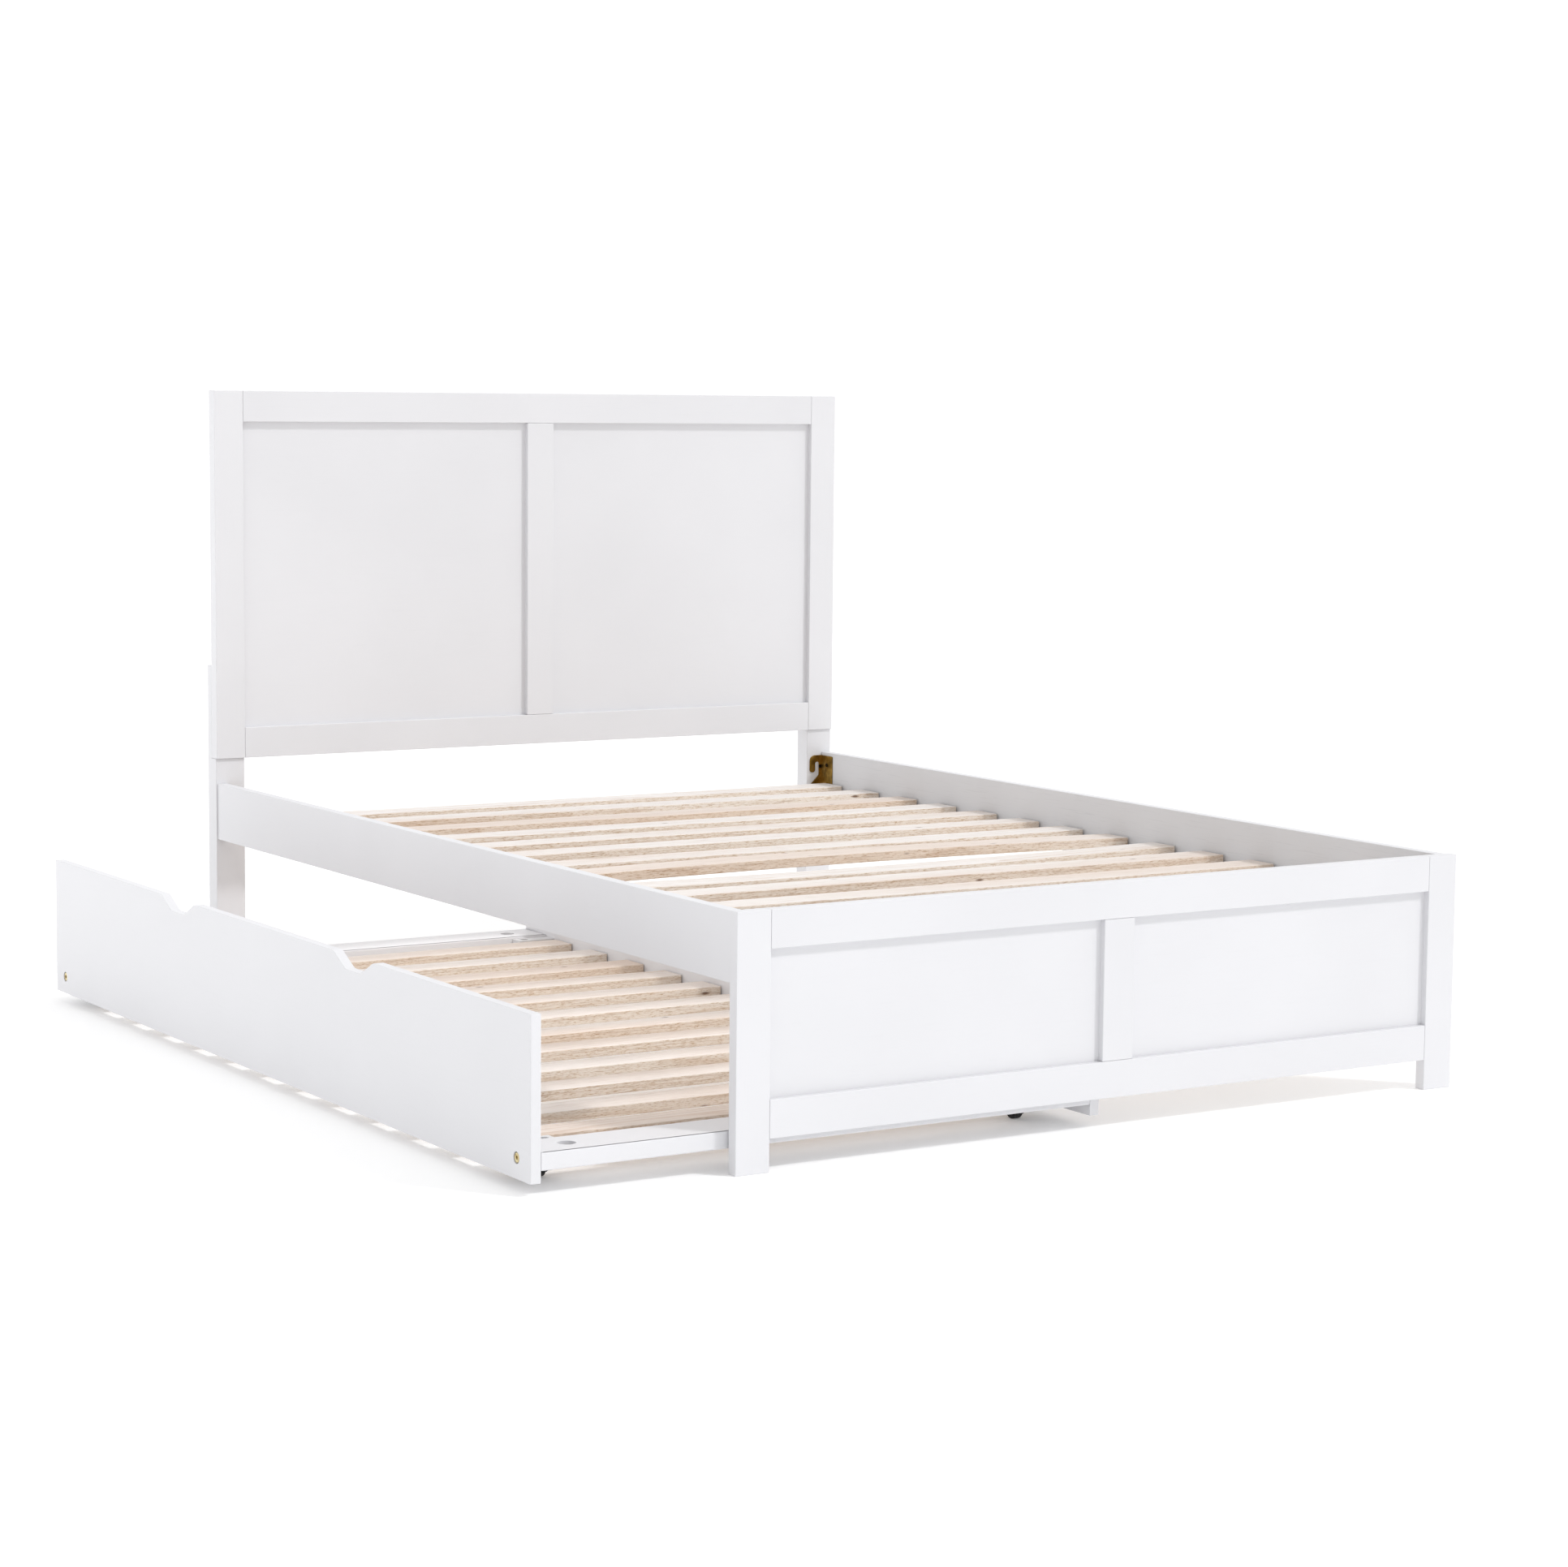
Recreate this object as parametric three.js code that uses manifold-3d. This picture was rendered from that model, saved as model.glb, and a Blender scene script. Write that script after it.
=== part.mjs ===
// A full-size panel bed in painted timber, with a twin trundle that rolls out from under its left side.
//
// Units are millimetres, +Z is up, the head of the bed is at +Y and the trundle pulls out towards -X.
// The bed frame is laid out with X = 0 on its centre line, Y = 0 on the footboard's front face and
// Z = 0 on the floor. The exported group then moves that origin to the middle of the footprint.
import * as THREE from 'three';
import { mergeVertices } from 'three/addons/utils/BufferGeometryUtils.js';
import Module from 'manifold-3d';

const wasm = await Module();
wasm.setup();

// Gap left between pieces that touch.
const GAP = 0.3;

// Bed frame.
const BED_WIDTH = 1430;
const HEADBOARD_Y = 1972;
const HEADBOARD_TOP = 1168;
const HEADBOARD_BOTTOM = 450;
const HEAD_POST_THICKNESS = 26;
const FOOTBOARD_TOP = 402;
const FOOT_POST_THICKNESS = 21;
const FOOTBOARD_RAIL_BOTTOM = 52;
const POST_WIDTH = 60;
const BOARD_RAIL_HEIGHT = 60;
const MULLION_WIDTH = 60;
const PANEL_THICKNESS = 6;
const PANEL_TONGUE = 8;
const PANEL_RECESS = 11;

// Legs that carry the headboard: a full-depth foot with a thinner tongue behind the post.
const HEAD_LEG_FRONT_Y = 1977;
const HEAD_LEG_LAP = 18;
const HEAD_LEG_TOP = 632;
const HEAD_LEG_BACK_Y = HEADBOARD_Y + HEAD_POST_THICKNESS + HEAD_LEG_LAP;

// Side rails and the ledgers glued along their inner faces.
const SIDE_RAIL_INSET = 3;
const SIDE_RAIL_THICKNESS = 20;
const SIDE_RAIL_TOP = 401;
const SIDE_RAIL_BOTTOM = 291;
const LEDGER_WIDTH = 25;
const LEDGER_HEIGHT = 26;
const LEDGER_END_SETBACK = 60;

// Slats.
const SLAT_END_CLEARANCE = 4;
const SLAT_WIDTH = 68;
const SLAT_THICKNESS = 18;
const BED_SLATS = 13;
const BED_SLAT_FIRST_Y = 158;
const BED_SLAT_PITCH = 144;
const TRUNDLE_SLATS = 12;
const TRUNDLE_SLAT_FIRST_Y = 150;
const TRUNDLE_SLAT_PITCH = 147;

// Hook plates that join the side rails to the posts.
const HOOK_PLATE_THICKNESS = 2;
const HOOK_PLATE_HEIGHT = 92;
const HOOK_PLATE_TOP = 394;
const HOOK_RAIL_LEAF = 46;
const HOOK_POST_LEAF = 30;
const HOOK_THROAT_RADIUS = 9;
const HOOK_THROAT_DROP = 44;

// Trundle, pulled part of the way out.
const TRUNDLE_WIDTH = 1032;
const TRUNDLE_START_Y = 26;
const TRUNDLE_END_Y = 1971;
const TRUNDLE_FRONT_X = -1048;
const TRUNDLE_BOARD_BOTTOM = 20;
const TRUNDLE_FRONT_TOP = 272;
const TRUNDLE_FAR_TOP = 150;
const TRUNDLE_BOARD_THICKNESS = 17.5;
const PLANK_BOTTOM = 38;
const PLANK_THICKNESS = 28;
const PLANK_WIDTH = 90;
const TRUNDLE_LEDGER_WIDTH = 20;
const TRUNDLE_SLAT_BOTTOM = 44;

// Hand scoops in the top edge of the trundle's front board.
const SCOOP_OFFSETS = [-365, 365];
const SCOOP_WIDTH = 150;
const SCOOP_FLAT = 56;
const SCOOP_DEPTH = 24;
const SCOOP_STEPS = 8;

// Holes in the end planks that give access to the nuts of the bolts through the boards.
const NUT_HOLE_INSET_X = 66;
const NUT_HOLE_RADIUS = 14;
const NUT_HOLE_DEPTH = 22;

// Corner blocks glued to the inner edges of the end planks, which carry the castors.
const CORNER_BLOCK_LENGTH = 78;
const CORNER_BLOCK_WIDTH = 33.7;
const CORNER_BLOCK_TOP = 62;

// Castors: a swivelling housing on a stem, and a wheel on the housing's axle.
const CASTOR_INSET_X = 60;
const CASTOR_INSET_Y = 17;
const CASTOR_TRAIL = 18;
const WHEEL_RADIUS = 16;
const WHEEL_WIDTH = 16;
const WHEEL_EDGE = 3;
const AXLE_RADIUS = 3;
const CHEEK_THICKNESS = 3;
const CHEEK_CLEARANCE = 1;
const CHEEK_RADIUS = 9;
const CHEEK_STEPS = 14;
const CASTOR_DISC_RADIUS = 17;
const CASTOR_DISC_THICKNESS = 4;
const STEM_RADIUS = 4;
const STEM_HEAD_RADIUS = 8;
const STEM_HEAD_HEIGHT = 4;
const STEM_CLEARANCE = 0.5;
const CASTOR_POCKET_RADIUS = 9;
const CASTOR_SEAT_THICKNESS = 12;
const ROUND_SEGMENTS = 28;

const TIMBER_PAINTED = { color: 0xf1f1f3, roughness: 0.45, metalness: 0 };
const TIMBER_PINE = { color: 0xe9d6bd, roughness: 0.65, metalness: 0 };
const STEEL_PLATED = { color: 0xb08d3a, roughness: 0.35, metalness: 1 };
const PLASTIC_BLACK = { color: 0x141414, roughness: 0.5, metalness: 0 };

const bedFrame = new THREE.Group();

// ---- Solids -------------------------------------------------------------------------------------

function toSolid(geometry) {
  const bare = geometry.clone();
  bare.deleteAttribute('normal');
  bare.deleteAttribute('uv');
  const merged = mergeVertices(bare, 1e-4);
  return new wasm.Manifold(new wasm.Mesh({
    numProp: 3,
    vertProperties: new Float32Array(merged.attributes.position.array),
    triVerts: new Uint32Array(merged.index.array),
  }));
}

function toGeometry(solid) {
  const { vertProperties, triVerts } = solid.getMesh();
  const geometry = new THREE.BufferGeometry();
  geometry.setAttribute('position', new THREE.BufferAttribute(new Float32Array(vertProperties), 3));
  geometry.setIndex(new THREE.BufferAttribute(new Uint32Array(triVerts), 1));
  geometry.computeVertexNormals();
  return geometry;
}

function addPiece(name, geometry, finish) {
  const mesh = new THREE.Mesh(geometry, new THREE.MeshStandardMaterial(finish));
  mesh.name = name;
  bedFrame.add(mesh);
  return mesh;
}

// A box from its lowest to its highest corner.
function board([x0, y0, z0], [x1, y1, z1]) {
  const geometry = new THREE.BoxGeometry(x1 - x0, y1 - y0, z1 - z0);
  geometry.translate((x0 + x1) / 2, (y0 + y1) / 2, (z0 + z1) / 2);
  return geometry;
}

// A cylinder along 'x', 'y' or 'z' with its middle at the given point.
function round(axis, radius, length, middle) {
  const geometry = new THREE.CylinderGeometry(radius, radius, length, ROUND_SEGMENTS);
  if (axis === 'z') geometry.rotateX(Math.PI / 2);
  if (axis === 'x') geometry.rotateZ(Math.PI / 2);
  geometry.translate(...middle);
  return geometry;
}

// The same box, larger by GAP on every side, to cut the groove that holds it.
function grown([low, high]) {
  return board(low.map((value) => value - GAP), high.map((value) => value + GAP));
}

function cut(geometry, cutters) {
  const solid = cutters.reduce((rest, cutter) => rest.subtract(toSolid(cutter)), toSolid(geometry));
  return toGeometry(solid);
}

function join(geometries) {
  const [first, ...others] = geometries.map(toSolid);
  return toGeometry(others.reduce((whole, solid) => whole.add(solid), first));
}

// A flat outline drawn in (y, z) and given a thickness along +x from x0.
function extrudeAlongX(shape, x0, thickness) {
  const geometry = new THREE.ExtrudeGeometry(shape, { depth: thickness, bevelEnabled: false });
  geometry.rotateY(Math.PI / 2);
  geometry.rotateX(Math.PI / 2);
  geometry.translate(x0, 0, 0);
  return geometry;
}

// ---- Headboard and footboard ---------------------------------------------------------------------

// The frame-and-panel board across one end: two posts, two rails, a mullion and two grooved-in panels.
function addPanelBoard(prefix, { frontY, thickness, postBottom, top, railBottom }) {
  const backY = frontY + thickness;
  const half = BED_WIDTH / 2;
  const inner = half - POST_WIDTH;
  const lowerTop = railBottom + BOARD_RAIL_HEIGHT;
  const upperBottom = top - BOARD_RAIL_HEIGHT;
  const panelFront = frontY + PANEL_RECESS;
  const panels = { left: [-inner, -MULLION_WIDTH / 2], right: [MULLION_WIDTH / 2, inner] };
  const boxes = Object.entries(panels).map(([side, [x0, x1]]) => [side, [
    [x0 - PANEL_TONGUE, panelFront, lowerTop - PANEL_TONGUE],
    [x1 + PANEL_TONGUE, panelFront + PANEL_THICKNESS, upperBottom + PANEL_TONGUE],
  ]]);
  const grooves = boxes.map(([, box]) => grown(box));
  const pieces = {
    left_post: [[-half, frontY, postBottom], [-inner, backY, top]],
    right_post: [[inner, frontY, postBottom], [half, backY, top]],
    top_rail: [[-inner + GAP, frontY, upperBottom], [inner - GAP, backY, top]],
    lower_rail: [[-inner + GAP, frontY, railBottom], [inner - GAP, backY, lowerTop]],
    mullion: [[-MULLION_WIDTH / 2, frontY, lowerTop + GAP], [MULLION_WIDTH / 2, backY, upperBottom - GAP]],
  };
  for (const [name, [low, high]] of Object.entries(pieces)) {
    addPiece(`${prefix}_${name}`, cut(board(low, high), grooves), TIMBER_PAINTED);
  }
  for (const [side, [low, high]] of boxes) {
    addPiece(`${prefix}_${side}_panel`, board(low, high), TIMBER_PAINTED);
  }
}

// A foot as deep as post and tongue together, and a tongue that runs up behind the post.
function addHeadLeg(side, sign) {
  const outer = sign * BED_WIDTH / 2;
  const inner = sign * (BED_WIDTH / 2 - POST_WIDTH);
  const tongueY = HEADBOARD_Y + HEAD_POST_THICKNESS + GAP;
  const outline = new THREE.Shape();
  outline.moveTo(HEAD_LEG_FRONT_Y, 0);
  outline.lineTo(HEAD_LEG_BACK_Y, 0);
  outline.lineTo(HEAD_LEG_BACK_Y, HEAD_LEG_TOP);
  outline.lineTo(tongueY, HEAD_LEG_TOP);
  outline.lineTo(tongueY, HEADBOARD_BOTTOM - GAP);
  outline.lineTo(HEAD_LEG_FRONT_Y, HEADBOARD_BOTTOM - GAP);
  outline.closePath();
  addPiece(`${side}_head_leg`, extrudeAlongX(outline, Math.min(outer, inner), POST_WIDTH), TIMBER_PAINTED);
}

// ---- Side rails, hook plates and slats -------------------------------------------------------------

const RAIL_START_Y = FOOT_POST_THICKNESS + GAP;
const RAIL_END_Y = HEAD_LEG_FRONT_Y - GAP;
const RAIL_OUTER_X = BED_WIDTH / 2 - SIDE_RAIL_INSET;
const RAIL_INNER_X = RAIL_OUTER_X - SIDE_RAIL_THICKNESS;

// Put a pair of distances from the centre line on the left (-1) or right (+1) side, lowest first.
function onSide(sign, near, far) {
  return sign > 0 ? [near, far] : [-far, -near];
}

function addSideRail(side, sign) {
  const [railX0, railX1] = onSide(sign, RAIL_INNER_X, RAIL_OUTER_X);
  const [ledgerX0, ledgerX1] = onSide(sign, RAIL_INNER_X - LEDGER_WIDTH, RAIL_INNER_X + 1);
  const rail = board([railX0, RAIL_START_Y, SIDE_RAIL_BOTTOM], [railX1, RAIL_END_Y, SIDE_RAIL_TOP]);
  const ledger = board(
    [ledgerX0, RAIL_START_Y + LEDGER_END_SETBACK, SIDE_RAIL_BOTTOM],
    [ledgerX1, RAIL_END_Y - LEDGER_END_SETBACK, SIDE_RAIL_BOTTOM + LEDGER_HEIGHT],
  );
  addPiece(`${side}_side_rail`, join([rail, ledger]), TIMBER_PAINTED);
}

// An angle plate: one leaf on the rail, and one on the post with a throat that drops over a pin.
function addHookPlate(name, sign, endY, inward) {
  const bottom = HOOK_PLATE_TOP - HOOK_PLATE_HEIGHT;
  const face = RAIL_INNER_X - GAP;
  const postFace = endY + inward * GAP;
  const [railLeafX0, railLeafX1] = onSide(sign, face - HOOK_PLATE_THICKNESS, face);
  const [postLeafX0, postLeafX1] = onSide(sign, face - HOOK_POST_LEAF, face);
  const [y0, y1] = [postFace, postFace + inward * HOOK_RAIL_LEAF].sort((a, b) => a - b);
  const [leafY0, leafY1] = [postFace, postFace + inward * HOOK_PLATE_THICKNESS].sort((a, b) => a - b);
  const railLeaf = board([railLeafX0, y0, bottom], [railLeafX1, y1, HOOK_PLATE_TOP]);
  const postLeaf = board([postLeafX0, leafY0, bottom], [postLeafX1, leafY1, HOOK_PLATE_TOP]);
  const throatZ = HOOK_PLATE_TOP - HOOK_THROAT_DROP;
  const throatX = sign * (face - HOOK_POST_LEAF / 2);
  const throat = round('y', HOOK_THROAT_RADIUS, 10 * HOOK_PLATE_THICKNESS, [throatX, leafY0, throatZ]);
  const [mouthX0, mouthX1] = onSide(sign, face - HOOK_POST_LEAF - 1, face - HOOK_POST_LEAF / 2);
  const mouth = board(
    [mouthX0, leafY0 - HOOK_PLATE_THICKNESS, throatZ - HOOK_THROAT_RADIUS],
    [mouthX1, leafY1 + HOOK_PLATE_THICKNESS, throatZ],
  );
  const plate = join([railLeaf, postLeaf]);
  addPiece(name, cut(plate, [throat, mouth]), STEEL_PLATED);
}

function addSlats(prefix, count, firstY, pitch, [x0, x1], bottom) {
  for (let index = 0; index < count; index += 1) {
    const y = firstY + index * pitch;
    const slat = board([x0, y, bottom], [x1, y + SLAT_WIDTH, bottom + SLAT_THICKNESS]);
    addPiece(`${prefix}_${String(index + 1).padStart(2, '0')}`, slat, TIMBER_PINE);
  }
}

// ---- Trundle -------------------------------------------------------------------------------------

const TRUNDLE_FAR_X = TRUNDLE_FRONT_X + TRUNDLE_WIDTH;
const TRUNDLE_INNER_X0 = TRUNDLE_FRONT_X + TRUNDLE_BOARD_THICKNESS;
const TRUNDLE_INNER_X1 = TRUNDLE_FAR_X - TRUNDLE_BOARD_THICKNESS;

// Half a scoop's end: height above the scoop's floor at a share of the way up the end, an S-curve.
function easeHeight(share) {
  return SCOOP_DEPTH * (1 - Math.cos(Math.PI * share)) / 2;
}

// The front board's outline in (y, z), its top edge dipping into the hand scoops.
function frontBoardOutline() {
  const middle = (TRUNDLE_START_Y + TRUNDLE_END_Y) / 2;
  const run = (SCOOP_WIDTH - SCOOP_FLAT) / 2;
  const outline = new THREE.Shape();
  outline.moveTo(TRUNDLE_START_Y, TRUNDLE_BOARD_BOTTOM);
  outline.lineTo(TRUNDLE_START_Y, TRUNDLE_FRONT_TOP);
  for (const offset of SCOOP_OFFSETS) {
    const start = middle + offset - SCOOP_WIDTH / 2;
    const end = middle + offset + SCOOP_WIDTH / 2;
    for (let step = 0; step <= SCOOP_STEPS; step += 1) {
      const share = step / SCOOP_STEPS;
      outline.lineTo(start + run * share, TRUNDLE_FRONT_TOP - easeHeight(share));
    }
    for (let step = 0; step <= SCOOP_STEPS; step += 1) {
      const share = step / SCOOP_STEPS;
      outline.lineTo(end - run * (1 - share), TRUNDLE_FRONT_TOP - easeHeight(1 - share));
    }
  }
  outline.lineTo(TRUNDLE_END_Y, TRUNDLE_FRONT_TOP);
  outline.lineTo(TRUNDLE_END_Y, TRUNDLE_BOARD_BOTTOM);
  outline.closePath();
  return outline;
}

// Each end plank's inner edge, and the way from it towards the middle of the trundle.
const PLANK_EDGES = {
  foot: [TRUNDLE_START_Y + PLANK_WIDTH, 1],
  head: [TRUNDLE_END_Y - PLANK_WIDTH, -1],
};
const CASTOR_PLACES = Object.entries(PLANK_EDGES).flatMap(([end, [edge, inward]]) => [
  [`${end}_front`, TRUNDLE_INNER_X0 + CASTOR_INSET_X, edge + inward * CASTOR_INSET_Y],
  [`${end}_far`, TRUNDLE_INNER_X1 - CASTOR_INSET_X, edge + inward * CASTOR_INSET_Y],
]);

// The strip under the slats' ends, joined to the board it is glued to.
function trundleLedger(x0, x1) {
  const clear = PLANK_WIDTH + CORNER_BLOCK_WIDTH + GAP;
  return board(
    [x0, TRUNDLE_START_Y + clear, TRUNDLE_BOARD_BOTTOM],
    [x1, TRUNDLE_END_Y - clear, TRUNDLE_SLAT_BOTTOM - GAP],
  );
}

function addTrundleBoards() {
  const front = extrudeAlongX(frontBoardOutline(), TRUNDLE_FRONT_X, TRUNDLE_BOARD_THICKNESS);
  const frontLedger = trundleLedger(TRUNDLE_INNER_X0 - 1, TRUNDLE_INNER_X0 + TRUNDLE_LEDGER_WIDTH);
  addPiece('trundle_front_board', join([front, frontLedger]), TIMBER_PAINTED);
  const far = board(
    [TRUNDLE_INNER_X1, TRUNDLE_START_Y, TRUNDLE_BOARD_BOTTOM],
    [TRUNDLE_FAR_X, TRUNDLE_END_Y, TRUNDLE_FAR_TOP],
  );
  const farLedger = trundleLedger(TRUNDLE_INNER_X1 - TRUNDLE_LEDGER_WIDTH, TRUNDLE_INNER_X1 + 1);
  addPiece('trundle_far_board', join([far, farLedger]), TIMBER_PAINTED);
}

// The two corner blocks at one end, each reaching a little into the plank that it is joined to.
function cornerBlocks(end) {
  const [edge, inward] = PLANK_EDGES[end];
  const [y0, y1] = [edge - inward, edge + inward * CORNER_BLOCK_WIDTH].sort((a, b) => a - b);
  const spans = [
    [TRUNDLE_INNER_X0 + GAP, TRUNDLE_INNER_X0 + CORNER_BLOCK_LENGTH],
    [TRUNDLE_INNER_X1 - CORNER_BLOCK_LENGTH, TRUNDLE_INNER_X1 - GAP],
  ];
  return spans.map(([x0, x1]) => board([x0, y0, PLANK_BOTTOM], [x1, y1, CORNER_BLOCK_TOP]));
}

// The castors' stem holes at one end, each with a pocket above it for the stem's head.
function castorHoles(end) {
  return CASTOR_PLACES.filter(([name]) => name.startsWith(end)).flatMap(([, x, y]) => {
    const seat = PLANK_BOTTOM + CASTOR_SEAT_THICKNESS;
    return [
      round('z', CASTOR_POCKET_RADIUS, 2 * (CORNER_BLOCK_TOP - seat), [x, y, CORNER_BLOCK_TOP]),
      round('z', STEM_RADIUS + STEM_CLEARANCE, 2 * CORNER_BLOCK_TOP, [x, y, CORNER_BLOCK_TOP]),
    ];
  });
}

// An end plank with its corner blocks, and near each end a blind hole that gives access to a nut.
function addEndPlank(end) {
  const [edge, inward] = PLANK_EDGES[end];
  const [y0, y1] = [edge - inward * PLANK_WIDTH, edge].sort((a, b) => a - b);
  const top = PLANK_BOTTOM + PLANK_THICKNESS;
  const plank = board([TRUNDLE_INNER_X0 + GAP, y0, PLANK_BOTTOM], [TRUNDLE_INNER_X1 - GAP, y1, top]);
  const nutHoles = [TRUNDLE_INNER_X0 + NUT_HOLE_INSET_X, TRUNDLE_INNER_X1 - NUT_HOLE_INSET_X].map(
    (x) => round('z', NUT_HOLE_RADIUS, 2 * NUT_HOLE_DEPTH, [x, (y0 + y1) / 2, top]),
  );
  const whole = join([plank, ...cornerBlocks(end)]);
  addPiece(`trundle_${end}_plank`, cut(whole, [...nutHoles, ...castorHoles(end)]), TIMBER_PAINTED);
}

// The housing: a disc under the block, a stem with a head above its seat, two cheeks and an axle.
function castorHousing(x, y) {
  const discTop = PLANK_BOTTOM - STEM_CLEARANCE;
  const discBottom = discTop - CASTOR_DISC_THICKNESS;
  const headBottom = PLANK_BOTTOM + CASTOR_SEAT_THICKNESS + STEM_CLEARANCE;
  const wheelY = y + CASTOR_TRAIL;
  const cheekX = WHEEL_WIDTH / 2 + CHEEK_CLEARANCE + CHEEK_THICKNESS / 2;
  const parts = [
    round('z', CASTOR_DISC_RADIUS, CASTOR_DISC_THICKNESS, [x, y, (discTop + discBottom) / 2]),
    round('z', STEM_RADIUS, headBottom - discBottom, [x, y, (headBottom + discBottom) / 2]),
    round('z', STEM_HEAD_RADIUS, STEM_HEAD_HEIGHT, [x, y, headBottom + STEM_HEAD_HEIGHT / 2]),
    round('x', AXLE_RADIUS, 2 * cheekX, [x, wheelY, WHEEL_RADIUS]),
  ];
  for (const sign of [-1, 1]) {
    parts.push(cheek(x + sign * cheekX, y, wheelY, discBottom));
  }
  return join(parts);
}

// One cheek: a leaf from the disc down to a rounded end about the axle.
function cheek(x, y, wheelY, discBottom) {
  const outline = new THREE.Shape();
  outline.moveTo(y - CASTOR_DISC_RADIUS / 2, discBottom + 1);
  outline.lineTo(wheelY - CHEEK_RADIUS, WHEEL_RADIUS);
  for (let step = 1; step <= CHEEK_STEPS; step += 1) {
    const angle = Math.PI * (1 + step / CHEEK_STEPS);
    outline.lineTo(wheelY + CHEEK_RADIUS * Math.cos(angle), WHEEL_RADIUS + CHEEK_RADIUS * Math.sin(angle));
  }
  outline.lineTo(y + CASTOR_DISC_RADIUS * 0.8, discBottom + 1);
  outline.closePath();
  return extrudeAlongX(outline, x - CHEEK_THICKNESS / 2, CHEEK_THICKNESS);
}

// The wheel: a rim with rounded edges and a bore that runs free on the axle.
function castorWheel() {
  const half = WHEEL_WIDTH / 2;
  const bore = AXLE_RADIUS + GAP;
  const profile = [
    [bore, -half],
    [WHEEL_RADIUS - WHEEL_EDGE, -half],
    [WHEEL_RADIUS, -half + WHEEL_EDGE],
    [WHEEL_RADIUS, half - WHEEL_EDGE],
    [WHEEL_RADIUS - WHEEL_EDGE, half],
    [bore, half],
    [bore, -half],
  ].map(([radius, along]) => new THREE.Vector2(radius, along));
  const geometry = new THREE.LatheGeometry(profile, ROUND_SEGMENTS);
  geometry.rotateZ(Math.PI / 2);
  return geometry;
}

function addCastors() {
  for (const [name, x, y] of CASTOR_PLACES) {
    addPiece(`castor_${name}_housing`, castorHousing(x, y), PLASTIC_BLACK);
    const wheel = addPiece(`castor_${name}_wheel`, castorWheel(), PLASTIC_BLACK);
    wheel.position.set(x, y + CASTOR_TRAIL, WHEEL_RADIUS);
  }
}

// ---- Assembly ------------------------------------------------------------------------------------

addPanelBoard('headboard', {
  frontY: HEADBOARD_Y,
  thickness: HEAD_POST_THICKNESS,
  postBottom: HEADBOARD_BOTTOM,
  top: HEADBOARD_TOP,
  railBottom: HEADBOARD_BOTTOM,
});
addPanelBoard('footboard', {
  frontY: 0,
  thickness: FOOT_POST_THICKNESS,
  postBottom: 0,
  top: FOOTBOARD_TOP,
  railBottom: FOOTBOARD_RAIL_BOTTOM,
});
for (const [side, sign] of [['left', -1], ['right', 1]]) {
  addHeadLeg(side, sign);
  addSideRail(side, sign);
  addHookPlate(`${side}_head_hook_plate`, sign, HEAD_LEG_FRONT_Y, -1);
  addHookPlate(`${side}_foot_hook_plate`, sign, FOOT_POST_THICKNESS, 1);
}
const slatEnd = RAIL_INNER_X - SLAT_END_CLEARANCE;
const bedSlatBottom = SIDE_RAIL_BOTTOM + LEDGER_HEIGHT + GAP;
addSlats('bed_slat', BED_SLATS, BED_SLAT_FIRST_Y, BED_SLAT_PITCH, [-slatEnd, slatEnd], bedSlatBottom);

addTrundleBoards();
addEndPlank('foot');
addEndPlank('head');
addSlats(
  'trundle_slat',
  TRUNDLE_SLATS,
  TRUNDLE_SLAT_FIRST_Y,
  TRUNDLE_SLAT_PITCH,
  [TRUNDLE_INNER_X0 + 2, TRUNDLE_INNER_X1 - 2],
  TRUNDLE_SLAT_BOTTOM,
);
addCastors();

// The origin goes to the floor under the middle of the whole footprint.
const part = new THREE.Group();
bedFrame.position.set(-(TRUNDLE_FRONT_X + BED_WIDTH / 2) / 2, -HEAD_LEG_BACK_Y / 2, 0);
part.add(bedFrame);

export default part;
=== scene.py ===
"""The looks of a full-size panel bed in white enamelled timber, with pine slats and a rolling trundle."""
import math

import bpy
import numpy as np
from mathutils import Matrix, Vector
from mathutils.geometry import tessellate_polygon


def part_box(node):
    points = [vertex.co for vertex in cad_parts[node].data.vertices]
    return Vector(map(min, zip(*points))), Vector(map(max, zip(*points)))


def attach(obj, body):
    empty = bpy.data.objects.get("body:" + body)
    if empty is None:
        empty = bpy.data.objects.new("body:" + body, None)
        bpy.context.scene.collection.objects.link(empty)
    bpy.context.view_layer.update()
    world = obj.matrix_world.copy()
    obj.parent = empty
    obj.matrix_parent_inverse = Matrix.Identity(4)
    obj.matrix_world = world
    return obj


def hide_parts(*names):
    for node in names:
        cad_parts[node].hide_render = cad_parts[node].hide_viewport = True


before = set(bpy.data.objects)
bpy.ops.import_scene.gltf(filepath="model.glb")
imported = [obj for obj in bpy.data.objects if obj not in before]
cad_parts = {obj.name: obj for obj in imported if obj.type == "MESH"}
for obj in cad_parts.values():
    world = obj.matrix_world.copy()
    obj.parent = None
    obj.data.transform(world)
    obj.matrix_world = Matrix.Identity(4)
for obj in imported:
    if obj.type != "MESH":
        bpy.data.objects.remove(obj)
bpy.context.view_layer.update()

MM = 0.001

# Edges as a workshop eases them, and the broken edges of small hardware.
ENAMELLED_EDGE = 1.2 * MM
PANEL_EDGE = 0.6 * MM
SLAT_EDGE = 2.2 * MM
SLAT_END_EDGE = 2.0 * MM
PLATE_EDGE = 0.35 * MM
HARDWARE_EDGE = 0.5 * MM
POCKET_LIP = 0.6 * MM
PLANK_EDGE = 3 * MM

# An eased end's face is inset by a little less than the ease, so that its corners don't close up.
END_INSET_SHARE = 0.98

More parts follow.
